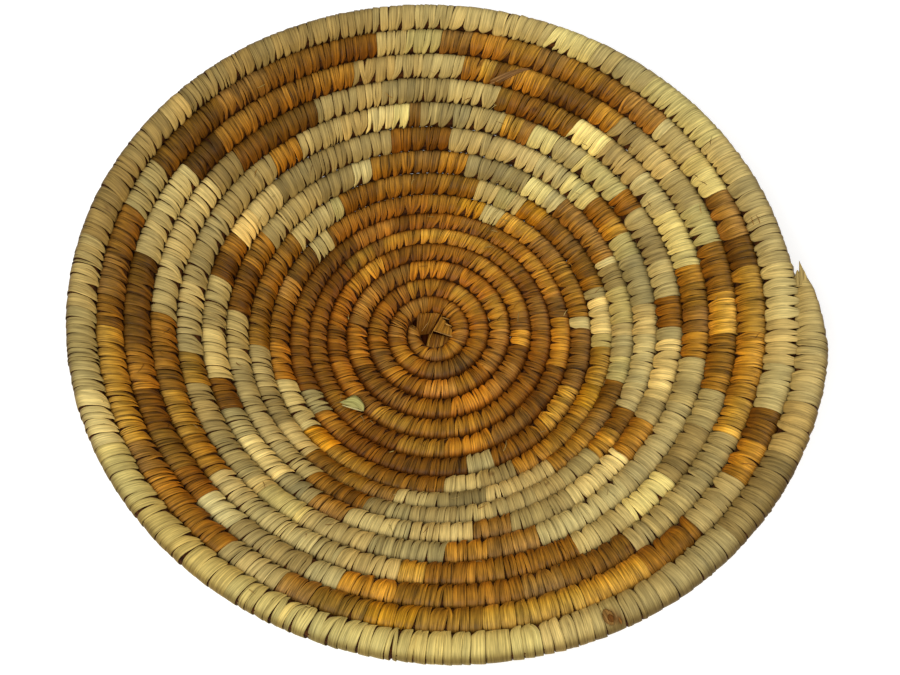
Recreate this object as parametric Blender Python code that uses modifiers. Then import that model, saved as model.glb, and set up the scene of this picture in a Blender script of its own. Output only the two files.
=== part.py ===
"""A coiled basket bowl: one long grass bundle, wrapped all along in leaf strands and wound into a spiral.

Blender units are metres and +Z is up. The bowl stands on z = 0, with the middle of its outline on the z axis.
A turn number says where a place is along the coil: 0 is the start in the middle, and each whole number is
one more time round. The coil runs counterclockwise, seen from above, and turn 0 points along -X.
"""

import math

import bpy
import numpy as np
from mathutils import Matrix

MM = 0.001

# The coil: its centre line in a flat base, and then up a wall that bends up and leans outwards
START_RADIUS = 6.3 * MM
BASE_PITCH = 7.0 * MM
WALL_PITCH = 9.1 * MM
RIM_PITCH = 9.5 * MM
PITCH_TURNS = (0.0, 5.0, 10.0, 15.5)
FLAT_TURNS = 5.6
LOWER_SLOPE = math.radians(31)
UPPER_SLOPE = math.radians(24)
BEND_PER_TURN = math.radians(13)
FULL_TURNS = 15.465

# The hand-made outline: the rim lies a little to one side of the base, and is a little oval
RIM_RADIUS = 125 * MM
RIM_SHIFT_X = 2.4 * MM
RIM_SHIFT_Y = -1.4 * MM
RIM_OVAL = 2.9 * MM
OVAL_AXIS = math.radians(-26)

# The hand-made base is a little wider than its even spiral, most of all at the front, where it bends late
BASE_SWELL = 1.0 * MM
BASE_SWELL_TURN = 4.0
BASE_SWELL_REACH = 2.8
FRONT_SWELL = 1.8 * MM
FRONT_SWELL_TURN = 7.0
FRONT_SWELL_REACH = 4.0
FRONT_ANGLE = math.radians(284)
FRONT_NARROWNESS = 1.5

# The section of the coil: six sides, flat above and below, with its edges towards the next turns
COIL_GAP = 0.4 * MM
SECTION_HEIGHT_SHARE = 0.92
WRAP_THICKNESS = 0.8 * MM
CORE_CLEARANCE = 0.3 * MM
WRAP_GAP = 0.3 * MM

# The thin start and the pointed tail
START_HALF_WIDTH = 1.7 * MM
START_TAPER_TURNS = 0.5
TAIL_LENGTH = 22.5 * MM
TAIL_HALF_WIDTH = 2.6 * MM
TIP_LENGTH = 8 * MM
TIP_HALF_WIDTH = 0.6 * MM
TIP_GAP = 0.7 * MM
KNOT_GAP = 0.7 * MM

STATIONS_PER_TURN = 24
LAW_STEPS_PER_TURN = 96
LAW_TURNS = 18

# Where one wrapping ends and the next begins, in degrees round each ring. Ring k runs from turn k - 1/2
# to k + 1/2, and 0 degrees is +X. From ring 7 to ring 14 each wrapping is one dyed patch with the pale run
# behind it.
BASE_CUTS = {1: (198,), 2: (198,), 3: (198,), 4: (198,), 5: (198,), 6: (3, 215, 293)}
PATTERN_CUTS = {
    7: (2, 68, 142, 217, 294),
    8: (12, 77, 142, 227, 303),
    9: (19, 77, 147, 232, 313),
    10: (23, 83, 154, 238, 318),
    11: (26, 124, 189, 272, 347),
    12: (52, 116, 182, 262, 338),
    13: (43, 107, 168, 252, 332),
    14: (38, 99, 160, 243, 323),
}
RIM_CUTS = {15: (-12, 71, 155, 230, 310)}

DYED = ("leaf dyed brown", (0.30, 0.10, 0.020), 0.55)
NATURAL = ("natural leaf", (0.56, 0.45, 0.19), 0.50)
GRASS = ("grass bundle", (0.10, 0.045, 0.015), 0.85)


def law_tables():
    """The centre line's radius and height above the base's, at even steps along the coil."""
    turns = np.linspace(-1, LAW_TURNS, LAW_STEPS_PER_TURN * (LAW_TURNS + 1) + 1)
    pitches = (BASE_PITCH, BASE_PITCH, WALL_PITCH, RIM_PITCH)
    pitch = np.interp(turns, PITCH_TURNS, pitches)
    bend = np.clip((turns - FLAT_TURNS) * BEND_PER_TURN, 0, LOWER_SLOPE)
    bend_end = FLAT_TURNS + LOWER_SLOPE / BEND_PER_TURN
    up_wall = np.clip((turns - bend_end) / (FULL_TURNS - bend_end), 0, 1)
    slope = bend + (UPPER_SLOPE - LOWER_SLOPE) * up_wall
    step = turns[1] - turns[0]
    run = np.cumsum(pitch * np.cos(slope)) * step
    rise = np.cumsum(pitch * np.sin(slope)) * step
    start = np.interp(0, turns, run)
    return turns, START_RADIUS + run - start, rise, slope


TURN_TABLE, RADIUS_TABLE, RISE_TABLE, SLOPE_TABLE = law_tables()


def plan_angle(turn):
    return 2 * math.pi * turn + math.pi


def swell_share(turn, middle, reach):
    """A smooth swell of the coil: all of it at the middle turn, and none at the reach to either side."""
    away = min(abs(turn - middle) / reach, 1)
    return math.cos(away * math.pi / 2) ** 2


def centre_radius(turn):
    """Radius of the centre line, with the outline's shift and oval, which fade towards the middle."""
    radius = float(np.interp(turn, TURN_TABLE, RADIUS_TABLE))
    angle = plan_angle(turn)
    shift = RIM_SHIFT_X * math.cos(angle) + RIM_SHIFT_Y * math.sin(angle)
    oval = RIM_OVAL * math.cos(2 * (angle - OVAL_AXIS))
    towards_front = ((1 + math.cos(angle - FRONT_ANGLE)) / 2) ** FRONT_NARROWNESS
    swell = BASE_SWELL * swell_share(turn, BASE_SWELL_TURN, BASE_SWELL_REACH)
    swell += FRONT_SWELL * swell_share(turn, FRONT_SWELL_TURN, FRONT_SWELL_REACH) * towards_front
    return radius + (shift + oval) * (radius / RIM_RADIUS) ** 2 + swell


def centre_rise(turn):
    return float(np.interp(turn, TURN_TABLE, RISE_TABLE))


def slope_at(turn):
    return float(np.interp(turn, TURN_TABLE, SLOPE_TABLE))


def spacing(turn):
    """Distance between the centre lines of this turn and the next, at the same angle."""
    out = centre_radius(turn + 1) - centre_radius(turn)
    up = centre_rise(turn + 1) - centre_rise(turn)
    return math.hypot(out, up)


def full_half_width(turn):
    return ((spacing(turn - 1) + spacing(turn)) / 2 - COIL_GAP) / 2


def law_station(turn):
    """Radius, height, slope and half width of the untapered coil at one station."""
    half = full_half_width(turn)
    return centre_radius(turn), SECTION_HEIGHT_SHARE * half + centre_rise(turn), slope_at(turn), half


def law_at(turn):
    """Place, slope and half width of the untapered coil. Between two stations it runs straight."""
    step = math.floor(turn * STATIONS_PER_TURN)
    share = turn * STATIONS_PER_TURN - step
    ends = []
    for index in (step, step + 1):
        station = index / STATIONS_PER_TURN
        radius, height, slope, half = law_station(station)
        angle = plan_angle(station)
        ends.append(np.array([radius * math.cos(angle), radius * math.sin(angle), height, slope, half]))
    return ends[0] * (1 - share) + ends[1] * share


def turns_over(length, turn):
    """How many turns a length along the coil takes at this place."""
    return length / (2 * math.pi * centre_radius(turn))


TAIL_END = FULL_TURNS + turns_over(TAIL_LENGTH, FULL_TURNS)
TIP_END = TAIL_END + turns_over(TIP_LENGTH, FULL_TURNS)


def half_width_at(turn, full):
    """The coil's half width with its start and tail tapers."""
    if turn < START_TAPER_TURNS:
        share = turn / START_TAPER_TURNS
        return START_HALF_WIDTH + (full - START_HALF_WIDTH) * share
    if turn <= FULL_TURNS:
        return full
    if turn <= TAIL_END:
        share = (turn - FULL_TURNS) / (TAIL_END - FULL_TURNS)
        return full + (TAIL_HALF_WIDTH - full) * share
    share = (turn - TAIL_END) / (TIP_END - TAIL_END)
    return TAIL_HALF_WIDTH + (TIP_HALF_WIDTH - TAIL_HALF_WIDTH) * share


def coil_at(turn):
    """Place, slope and half width of the coil. The tail keeps against the turn that it lies on."""
    x, y, z, slope, full = law_at(turn)
    half = half_width_at(turn, full)
    if turn > FULL_TURNS:
        inwards = (full - half) * math.cos(slope)
        radius = math.hypot(x, y)
        x -= x / radius * inwards
        y -= y / radius * inwards
        z -= (full - half) * math.sin(slope)
    return (x, y, z), slope, half


def stations(first, last):
    """The turn numbers of the points from one place on the coil to another."""
    start = math.floor(first * STATIONS_PER_TURN) + 1
    stop = math.ceil(last * STATIONS_PER_TURN)
    inner = [index / STATIONS_PER_TURN for index in range(start, stop)]
    return [first, *[turn for turn in inner if turn <= FULL_TURNS], last]


def outline_middle():
    """The middle of the coil's outer edge in plan, which is put on the z axis."""
    edges = []
    for turn in stations(FULL_TURNS - 1, FULL_TURNS):
        (x, y, _), slope, half = coil_at(turn)
        reach = 1 + half * math.cos(slope) / math.hypot(x, y)
        edges.append((x * reach, y * reach))
    edges = np.array(edges)
    return (edges.min(axis=0) + edges.max(axis=0)) / 2


def clear_scene():
    for obj in list(bpy.data.objects):
        bpy.data.objects.remove(obj)


def collection(name):
    made = bpy.data.collections.new(name)
    bpy.context.scene.collection.children.link(made)
    return made


def material(name, colour, roughness):
    made = bpy.data.materials.new(name)
    made.use_nodes = True
    shader = made.node_tree.nodes["Principled BSDF"]
    shader.inputs["Base Color"].default_value = (*colour, 1)
    shader.inputs["Roughness"].default_value = roughness
    shader.inputs["Metallic"].default_value = 0
    return made


def section_guide(guides):
    """The six-sided section, with a half width of 1, that each point of the coil scales."""
    curve = bpy.data.curves.new("coil_section", "CURVE")
    curve.dimensions = "2D"
    spline = curve.splines.new("POLY")
    height = SECTION_HEIGHT_SHARE
    corners = ((1, 0), (1 / 2, -height), (-1 / 2, -height), (-1, 0), (-1 / 2, height), (1 / 2, height))
    spline.points.add(len(corners) - 1)
    for point, (x, y) in zip(spline.points, corners):
        point.co = (x, y, 0, 1)
    spline.use_cyclic_u = True
    guide = bpy.data.objects.new("coil_section", curve)
    guide.hide_render = True
    guide.display_type = "WIRE"
    guides.objects.link(guide)
    return guide


def coil_piece(name, turns, inset, kit):
    """A length of the coil. The inset is how far its section lies inside the coil's outer one."""
    curve = bpy.data.curves.new(name, "CURVE")
    curve.dimensions = "3D"
    curve.twist_mode = "Z_UP"
    curve.bevel_mode = "OBJECT"
    curve.bevel_object = kit["section"]
    spline = curve.splines.new("POLY")
    spline.points.add(len(turns) - 1)
    for point, turn in zip(spline.points, turns):
        place, slope, half = coil_at(turn)
        point.co = (*place, 1)
        point.tilt = slope
        point.radius = half - inset
    piece = bpy.data.objects.new(name, curve)
    piece.parent = kit["basket"]
    kit["parts"].objects.link(piece)
    return piece


def flank_share():
    """How near the section's slanted sides come to its middle, as a share of its half width."""
    return SECTION_HEIGHT_SHARE / math.hypot(1 / 2, SECTION_HEIGHT_SHARE)


def grass_core(kit):
    """The grass bundle, which runs unbroken through every wrapping."""
    inset = (WRAP_THICKNESS + CORE_CLEARANCE) / flank_share()
    turns = stations(turns_over(CORE_CLEARANCE, 0), TAIL_END - turns_over(CORE_CLEARANCE, TAIL_END))
    core = coil_piece("grass_core", turns, inset, kit)
    core.data.use_fill_caps = True
    core.data.materials.append(kit["grass"])
    inner = [turn for turn in turns if turn < FULL_TURNS - 1]
    apart = [spacing(turn) - full_half_width(turn) - full_half_width(turn + 1) for turn in inner]
    print(f"grass_core: least gap to itself {(min(apart) + 2 * inset) / MM:.2f} mm")
    print(f"wrapped coil: least gap between turns {min(apart) / MM:.2f} mm")


def wrapping(name, first, last, look, kit):
    """One bundle of leaf strands, wound round the grass from one place to another as a hollow sleeve."""
    half_gap = WRAP_GAP / 2
    starts_inside = first > 0
    begin = first + turns_over(half_gap, first) if starts_inside else 0
    sleeve = coil_piece(name, stations(begin, last - turns_over(half_gap, last)), 0, kit)
    wall = sleeve.modifiers.new("leaf", "SOLIDIFY")
    wall.thickness = WRAP_THICKNESS
    wall.offset = -1
    wall.use_even_offset = True
    sleeve.data.materials.append(look)


def cut_places():
    """Each wrapping's name and the turn where it ends, from the middle outwards."""
    places = []
    for prefix, cuts in (("base", BASE_CUTS), ("ring", PATTERN_CUTS), ("rim", RIM_CUTS)):
        for ring, angles in cuts.items():
            for number, angle in enumerate(angles, 1):
                places.append((f"wrap_{prefix}_{ring:02d}_{number}", ring - 1 / 2 + angle / 360))
    return places


def wrappings(kit):
    places = cut_places()
    wrapping("wrap_start", 0, places[0][1], kit["dyed"], kit)
    ends = [turn for _, turn in places[1:]] + [TAIL_END + turns_over(WRAP_GAP / 2, TAIL_END)]
    for (name, first), last in zip(places, ends):
        natural = name.startswith("wrap_rim")
        wrapping(name, first, last, kit["natural" if natural else "dyed"], kit)


def tail_tip(kit):
    """The bound point of the last strand, which closes the bundle's end."""
    begin = TAIL_END + turns_over(TIP_GAP, TAIL_END)
    tip = coil_piece("tail_tip", [begin, TIP_END], 0, kit)
    tip.data.use_fill_caps = True
    tip.data.materials.append(kit["natural"])


def inner_edge(turn):
    """How far from the middle the inner edge of the first turn lies."""
    (x, y, _), _, half = coil_at(turn)
    return math.hypot(x, y) - half


def start_knot(kit):
    """The folded leaf ends in the eye of the spiral: a low button between the first turn's inner edges."""
    left, near, right, far = (inner_edge(turn) for turn in (0, 1 / 4, 1 / 2, 3 / 4))
    half_height = SECTION_HEIGHT_SHARE * START_HALF_WIDTH
    bpy.ops.mesh.primitive_uv_sphere_add(segments=16, ring_count=8, radius=1)
    knot = bpy.context.object
    knot.name = "start_knot"
    half_length = (right + left) / 2 - KNOT_GAP
    half_depth = (far + near) / 2 - KNOT_GAP
    knot.data.transform(Matrix.Diagonal((half_length, half_depth, half_height, 1)))
    knot.location = ((right - left) / 2, (far - near) / 2, coil_at(0)[0][2])
    knot.parent = kit["basket"]
    knot.data.shade_smooth()
    knot.data.materials.append(kit["dyed"])
    for owner in list(knot.users_collection):
        owner.objects.unlink(knot)
    kit["parts"].objects.link(knot)


def build():
    clear_scene()
    guides = collection("guides")
    parts = collection("coiled_basket_bowl")
    basket = bpy.data.objects.new("basket", None)
    middle = outline_middle()
    basket.location = (-middle[0], -middle[1], 0)
    parts.objects.link(basket)
    kit = {
        "parts": parts,
        "basket": basket,
        "section": section_guide(guides),
        "dyed": material(*DYED),
        "natural": material(*NATURAL),
        "grass": material(*GRASS),
    }
    grass_core(kit)
    wrappings(kit)
    tail_tip(kit)
    start_knot(kit)


build()
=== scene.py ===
import math

import bpy
import numpy as np
from mathutils import Matrix, Vector


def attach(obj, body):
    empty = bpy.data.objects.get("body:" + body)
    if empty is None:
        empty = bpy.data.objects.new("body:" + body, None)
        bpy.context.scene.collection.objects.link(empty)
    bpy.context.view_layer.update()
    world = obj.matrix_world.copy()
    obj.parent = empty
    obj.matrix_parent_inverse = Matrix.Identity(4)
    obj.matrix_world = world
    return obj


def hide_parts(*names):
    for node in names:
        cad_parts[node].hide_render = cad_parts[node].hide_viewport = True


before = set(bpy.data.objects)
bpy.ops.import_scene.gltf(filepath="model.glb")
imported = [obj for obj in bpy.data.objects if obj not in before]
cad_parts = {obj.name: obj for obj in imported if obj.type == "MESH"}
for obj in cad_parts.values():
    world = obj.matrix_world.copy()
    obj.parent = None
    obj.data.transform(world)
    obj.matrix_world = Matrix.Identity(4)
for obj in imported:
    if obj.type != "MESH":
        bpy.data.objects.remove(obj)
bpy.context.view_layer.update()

# A shallow coiled basket bowl. One long bundle of grass is wound into a spiral, and strands of split palm
# leaf are wound round it, stitch by stitch, each stitch catching the turn below. Dyed and natural strands
# take turns and make the pattern. Every stitch here is a band of its own that goes right round the coil.
MM = 0.001
SEED = 41

# The coil, with the same law as the CAD part's source
START_RADIUS = 6.3 * MM
BASE_PITCH = 7.0 * MM
WALL_PITCH = 9.1 * MM
RIM_PITCH = 9.5 * MM
PITCH_TURNS = (0.0, 5.0, 10.0, 15.5)
FLAT_TURNS = 5.6
LOWER_SLOPE = math.radians(31)
UPPER_SLOPE = math.radians(24)
BEND_PER_TURN = math.radians(13)
FULL_TURNS = 15.465
RIM_RADIUS = 125 * MM
RIM_SHIFT_X = 2.4 * MM
RIM_SHIFT_Y = -1.4 * MM
RIM_OVAL = 2.9 * MM
OVAL_AXIS = math.radians(-26)
BASE_SWELL = 1.0 * MM
BASE_SWELL_TURN = 4.0
BASE_SWELL_REACH = 2.8
FRONT_SWELL = 1.8 * MM
FRONT_SWELL_TURN = 7.0
FRONT_SWELL_REACH = 4.0
FRONT_ANGLE = math.radians(284)
FRONT_NARROWNESS = 1.5
COIL_GAP = 0.4 * MM
SECTION_HEIGHT_SHARE = 0.92
START_HALF_WIDTH = 2.3 * MM
START_TAPER_TURNS = 0.5
TAIL_LENGTH = 22.5 * MM
TAIL_HALF_WIDTH = 2.6 * MM
TIP_LENGTH = 8 * MM
TIP_HALF_WIDTH = 0.6 * MM
START_LIES_OUT = 0.9 * MM
TAIL_LIES_IN = 0.75
STRAIGHT_START = 0.10
BLUNT_END = 0.035
SPIRAL_AXIS = np.array((-3.108, 3.468, 0.0)) * MM
LAW_STEPS_PER_TURN = 96
LAW_TURNS = 18

# The camera, fitted to the grooves and the outline in the photograph
CAMERA_PLACE = Vector((2.88, -205.42, 470.20)) * MM
CAMERA_TILT = math.radians(23.94)
CAMERA_ROLL = math.radians(-2.41)
FOCAL_PIXELS = 1407
PHOTO_WIDTH_PIXELS = 900
SENSOR_WIDTH = 36

# The leaf strands, which are wound on as stitches, and how wide they are by turn
BAND_WIDTH_TURNS = (0, 5, 9, 15)
BAND_WIDTHS = np.array((3.1, 3.1, 4.0, 4.5)) * MM
# On the rim the leaf is widest at the lower right of the picture, and narrowest across from there
WIDEST_LEAF_ANGLE = math.radians(300)
RIM_WIDTHS_FROM = 13.5
RIM_WIDTH_SWING = 0.35
RIM_WIDTH_LOSS = 0.22
LEAF_BULGE = 0.28 * MM

# The weaver's hand. A pair is the least and the most that chance gives, and a spread is how far it strays
STRAND_WIDTH = (0.72, 1.28)
STITCHES_PER_STRAND = (3, 9)
STITCH_WIDTH_SPREAD = 0.16
STITCH_WIDTH_LIMITS = (0.45, 1.5)
# Two stitches in five are split lengthwise, and the parts cover a little more than a whole one does
SPLIT_ODDS = (0.58, 0.28, 0.14)
SPLIT_PART_WIDTH = (0.6, 1.4)
SPLIT_GAIN = 0.25
# Strands differ in tone. The stitches of one strand differ less, and the parts of one stitch least
TONE_SPREAD = 0.22
RIM_TONE_SPREAD = 0.15
RIM_START = 14.5
STITCH_TONE_SPREAD = 0.4
PART_TONE_SPREAD = 0.25
RED_SPREAD = 0.03
BLUE_SPREAD = 0.05

# A stitch's tongue: where its two edges start to narrow, in degrees from the coil's inner side, how sharply,
# and how much of its width is left at the tip
TAPER_AHEAD = (28, 54)
TAPER_BEHIND = (38, 72)
TAPER_POWER = (1.2, 3.6)
TIP_SHARE = (0.05, 0.36)
TIP_DEGREES = 21
# Its heel on the outer side narrows less, and least of all on the rim, where no other turn hides it
HEEL_DEGREES = (34, 58)
HEEL_POWER = 1.2
SPLIT_HEEL = (0.35, 0.8)
WHOLE_HEEL = (0.72, 1.0)
RIM_HEEL_FROM = 14.3
RIM_HEEL_OVER = 0.3
RIM_HEEL_FILLS = 0.7
# The pointed teeth of the last full turn, which reach over the groove and into the tail
TEETH_TURN = 14.478
TEETH_REACH = 0.042
TOOTH_DEGREES = 62
TOOTH_OVER = 44
TOOTH_POWER = 1.3
TOOTH_DEPTH = 0.72
TOOTH_REACH = 2.2
TAIL_TONGUE_REACH = 0.6
# Half of the gap between two stitches, in mm: most overlap a little, and a few stand apart
HALF_GAP = (-0.11, 0.05)
WIDE_GAP = 0.2
WIDE_GAP_ODDS = 0.04
# Stitches lean like a rope's strands: hardly at the right of the picture, and most of all at the left
STRAIGHTEST_ANGLE = math.radians(350)
LEAST_LEAN = 0.1 * MM
MOST_LEAN = 1.0 * MM
LEAN_SPREAD = 0.25
TONGUE_LEAN_SHARE = 0.7
TONGUE_LEAN = 0.1
TONGUE_LEAN_SPREAD = 0.3
# The parts of a split stitch draw together towards the hole that they share
PULL_SHARE = (0.2, 0.6)
PULL_DEGREES = 85
PULL_OVER = 55
# How a stitch lies, in mm: lifted off the coil, lapped over the one before, and bowed across its width
LIFT_SPREAD = 0.05
LAP = 0.11
LAP_SPREAD = 0.07
BOW = (0.3, 1.0)
# The leaf bridges the hollows between stalks, so the coil's section is a little squarer than round
SQUARENESS = 0.88
# From here on there is a turn inside, for the tongues to reach into, some further than others
TONGUES_FROM = 0.6
TONGUE_CHANCE = (0.4, 1.25)
# How far a tongue leaves the round section to cross the groove and enter the turn inside it, as a share of
# the coil's half width, by degrees from its inner side
TONGUE_DEGREES = (0, 12, 23, 32, 42, 53)
TONGUE_SHARE = (0.14, 0.17, 0.21, 0.17, 0.075, 0)

# Dirt and painted shade in the grooves: how much, at how many degrees from the coil's side it starts, and
# over how many degrees it grows
INNER_DIRT_AND_SHADE = (0.85, 37, 22)
OUTER_DIRT_AND_SHADE_ON_WALL = (0.8, 44, 36)
OUTER_DIRT_AND_SHADE_IN_BASE = (1.0, 58, 30)
BASE_DIRT_AND_SHADE_ENDS = 7.2
DIRT_AND_SHADE_POWER = 1.3
# How dark the cut edges of a strand are, which also paints the shade in the seams between stitches, and how
# far apart in mm two strands lie in the leaf's pattern
CUT_EDGE_AND_SEAM_SHADE = (0.35, 1)
STRANDS_APART = 900
BASE_WEAR_ENDS = 7.0
# Strands near the middle and the rim are drawn a little paler than those at the bend
TONE_BY_TURN_AT = (0, 3, 6.5, 9, 13.5, 15)
TONE_BY_TURN = (1.07, 1.06, 0.93, 1.0, 1.07, 1.0)

# Where a band has its corners: across its width, with how low each lies, and by angle round the coil's
# section, from its outer side over the top. They lie closer where a tongue ends
ACROSS = np.array((-1.0, -0.94, -0.62, 0.0, 0.62, 0.94, 1.0))
LEAF_PROFILE = np.array((0.34, 0.09, 0.02, 0.0, 0.02, 0.09, 0.34)) * MM
AROUND = np.radians((0, 12, 24, 36, 50, 64, 78, 92, 106, 118, 127, 134, 141, 147, 153, 158, 164, 180,
                     196, 202, 207, 213, 219, 226, 233, 242, 254, 268, 282, 296, 310, 324, 336, 348))

# A loose strip's corners along it, and its section: across, and how high each corner lies
STRIP_STEPS = 13
STRIP_ACROSS = np.array((-1.0, -0.5, 0.0, 0.5, 1.0, 0.0))
STRIP_HEIGHT = np.array((0.0, 0.75, 1.0, 0.75, 0.0, -0.4))
STRIPS_APART = 37.0

# The weaver's chart: what each ring is dyed from each angle on, in degrees round from +X. A ring runs from
# half a turn before its number to half a turn after it.
CHART = {
    0: "144 drab, 225 amber, 250 drab, 290 amber, 330 drab",
    1: "1 rust, 12 amber, 39 rust, 62 russet, 97 drab, 145 brown, 160 drab, 187 rust, 202 amber, "
       "237 rust, 260 drab, 319 amber, 359 rust",
    2: "19 amber, 48 golden, 64 rust, 82 amber, 105 golden, 117 drab, 128 brown, 144 russet, 164 amber, "
       "182 rust, 197 drab, 221 amber, 243 rust, 260 drab, 289 amber, 305 russet, 319 drab, 359 golden",
    3: "32 amber, 64 drab, 76 amber, 107 drab, 172 russet, 192 rust, 206 brown, 231 drab, 250 amber, "
       "280 rust, 308 drab, 333 brown, 347 golden, 358 drab",
    4: "11 golden, 34 amber, 44 golden, 60 rust, 90 brown, 115 rust, 121 golden, 137 amber, 148 russet, "
       "174 brown, 182 russet, 197 rust, 219 drab, 234 golden, 284 amber, 307 rust, 320 russet, "
       "345 brown, 358 drab",
    5: "18 rust, 34 amber, 57 golden, 115 drab, 121 golden, 138 russet, 169 brown, 193 rust, 210 amber, "
       "222 rust, 237 russet, 252 golden, 273 amber, 295 drab, 314 brown, 340 amber",
    6: "4 drab, 17 golden, 40 amber, 58 golden, 66 drab, 75 rust, 87 brown, 106 drab, 126 dark, "
       "148 brown, 160 dark, 174 brown, 205 straw, 216 rust, 230 russet, 248 brown, 281 straw, "
       "291 rust, 304 amber, 315 golden, 333 drab, 358 straw",
    7: "3 amber, 11 golden, 30 drab, 42 golden, 59 straw, 67 orange, 78 amber, 90 rust, 104 brown, "
       "133 straw, 142 brown, 156 drab, 165 rust, 171 russet, 183 rust, 198 straw, 219 orange, "
       "230 amber, 246 rust, 258 russet, 272 straw, 284 olive, 296 rust, 308 amber, 327 orange, "
       "336 golden, 350 yellow, 355 straw",
    8: "12 amber, 17 rust, 27 drab, 34 brown, 45 orange, 54 straw, 58 yellow, 64 straw, 72 amber, "
       "87 rust, 96 brown, 109 russet, 122 yellow, 126 olive, 134 straw, 143 rust, 156 russet, "
       "163 rust, 176 amber, 185 tan, 200 grey, 214 tan, 227 rust, 240 amber, 247 drab, 257 straw, "
       "273 olive, 284 tan, 305 rust, 312 amber, 320 drab, 328 brown, 338 yellow, 346 straw, 353 olive, "
       "357 yellow",
    9: "9 straw, 19 drab, 43 straw, 48 yellow, 56 straw, 64 tan, 77 amber, 86 drab, 94 rust, 108 straw, "
       "114 grey, 126 olive, 149 rust, 159 russet, 175 straw, 190 olive, 208 tan, 222 straw, 233 rust, "
       "241 russet, 250 olive, 256 straw, 262 olive, 277 straw, 284 grey, 296 olive, 304 straw, "
       "315 amber, 323 rust, 330 tan, 336 straw, 352 olive",
    10: "1 straw, 16 yellow, 23 golden, 28 rust, 36 yellow, 46 straw, 56 tan, 64 olive, 83 russet, "
        "90 rust, 94 russet, 100 tan, 112 grey, 124 olive, 136 tan, 146 olive, 154 rust, 160 russet, "
        "167 straw, 174 olive, 182 straw, 196 russet, 205 straw, 228 olive, 238 drab, 247 straw, "
        "263 olive, 278 drab, 287 straw, 295 olive, 302 straw, 318 rust, 328 tan, 334 straw, "
        "353 russet",
    11: "1 straw, 11 tan, 21 straw, 26 russet, 32 yellow, 46 straw, 54 yellow, 61 drab, 64 golden, "
        "69 straw, 78 tan, 86 straw, 89 tan, 91 drab, 94 yellow, 98 straw, 105 grey, 112 olive, "
        "124 amber, 132 olive, 152 tan, 160 olive, 171 tan, 189 golden, 197 grey, 210 straw, "
        "228 yellow, 239 olive, 255 straw, 271 rust, 280 drab, 291 straw, 312 tan, 322 olive, "
        "334 straw, 345 amber, 351 drab, 357 amber",
    12: "7 yellow, 21 straw, 32 tan, 43 yellow, 52 amber, 61 rust, 69 amber, 72 straw, 84 olive, "
        "92 tan, 100 grey, 106 olive, 116 brown, 124 dark, 130 russet, 138 grey, 146 olive, 156 tan, "
        "166 olive, 180 rust, 191 brown, 198 golden, 209 amber, 219 tan, 228 straw, 250 olive, "
        "262 golden, 267 rust, 282 russet, 296 straw, 308 yellow, 318 olive, 330 straw, 338 amber, "
        "350 golden, 359 rust",
    13: "10 yellow, 19 straw, 28 olive, 36 tan, 44 amber, 50 rust, 62 amber, 71 russet, 74 golden, "
        "77 rust, 81 straw, 88 olive, 96 grey, 105 rust, 118 brown, 138 dark, 147 straw, 158 olive, "
        "168 dark, 175 brown, 189 rust, 197 russet, 206 rust, 215 russet, 222 straw, 230 tan, "
        "238 olive, 246 straw, 252 amber, 272 rust, 284 drab, 291 brown, 304 tan, 308 straw, 316 olive, "
        "330 golden, 340 amber, 350 golden",
    14: "3 rust, 9 drab, 19 yellow, 28 straw, 37 drab, 46 brown, 52 amber, 60 drab, 66 amber, 73 rust, "
        "80 drab, 86 yellow, 93 straw, 99 russet, 111 brown, 122 drab, 133 dark, 150 straw, 160 brown, "
        "170 drab, 178 rust, 184 golden, 207 drab, 213 rust, 219 russet, 232 olive, 243 drab, "
        "249 golden, 258 orange, 266 golden, 303 russet, 313 tan, 323 amber, "
        "330 brown, 336 straw, 344 olive, 352 straw",
    15: "2 tan, 19 straw, 28 yellow, 36 yellow, 44 straw, 56 yellow, 65 straw, 84 straw, 91 olive, "
        "99 grey, 109 grey, 118 grey, 128 grey, 142 grey, 152 grey, 168 olive, 181 straw, "
        "196 straw, 206 yellow, 217 yellow, 247 yellow, 258 yellow, 274 yellow, 284 straw, 296 olive, "
        "304 tan, 315 grey, 338 tan, 347 olive",
}


def linear(code):
    """An sRGB hex colour as the linear numbers that Blender's shaders take."""
    parts = [int(code[place:place + 2], 16) / 255 for place in (1, 3, 5)]
    return np.array([part / 12.92 if part <= 0.04045 else ((part + 0.055) / 1.055) ** 2.4 for part in parts])


# Natural palm leaf dries to straw, and shade, sun and age turn single strands olive, tan, grey or yellow
NATURAL_LEAF = {
    "straw": linear("#bca463"),
    "yellow": linear("#cab469"),
    "olive": linear("#b49a5b"),
    "tan": linear("#b0985c"),
    "grey": linear("#9c8249"),
}

# Boiled dye takes unevenly: the same brown bath gives strands from near black to bright orange
DYED_LEAF = {
    "golden": linear("#ac7827"),
    "orange": linear("#b67818"),
    "amber": linear("#a16a1d"),
    "rust": linear("#96601a"),
    "russet": linear("#875313"),
    "brown": linear("#815216"),
    "dark": linear("#68420e"),
    "drab": linear("#936326"),
}
LEAF_COLOURS = {**NATURAL_LEAF, **DYED_LEAF}

# Where dark gum soaked into the leaf: ring, degrees, place round the section, size in mm, strength
GUM_STAINS = ((15, 294.2, 62, 3.0, 0.7), (15, 294.4, 58, 1.5, 0.9), (15, 294.9, 36, 1.9, 0.7),
              (12, 62.5, 95, 1.0, 0.8), (13, 77.5, 70, 1.2, 0.6), (15, 162, 100, 0.9, 0.7),
              (9, 300, 90, 0.9, 0.6), (7, 288, 95, 1.2, 0.6), (13, 303, 60, 1.2, 0.7))
GUM_BROWN = linear("#56300c")
GUM_SHARPNESS = 4
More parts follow.
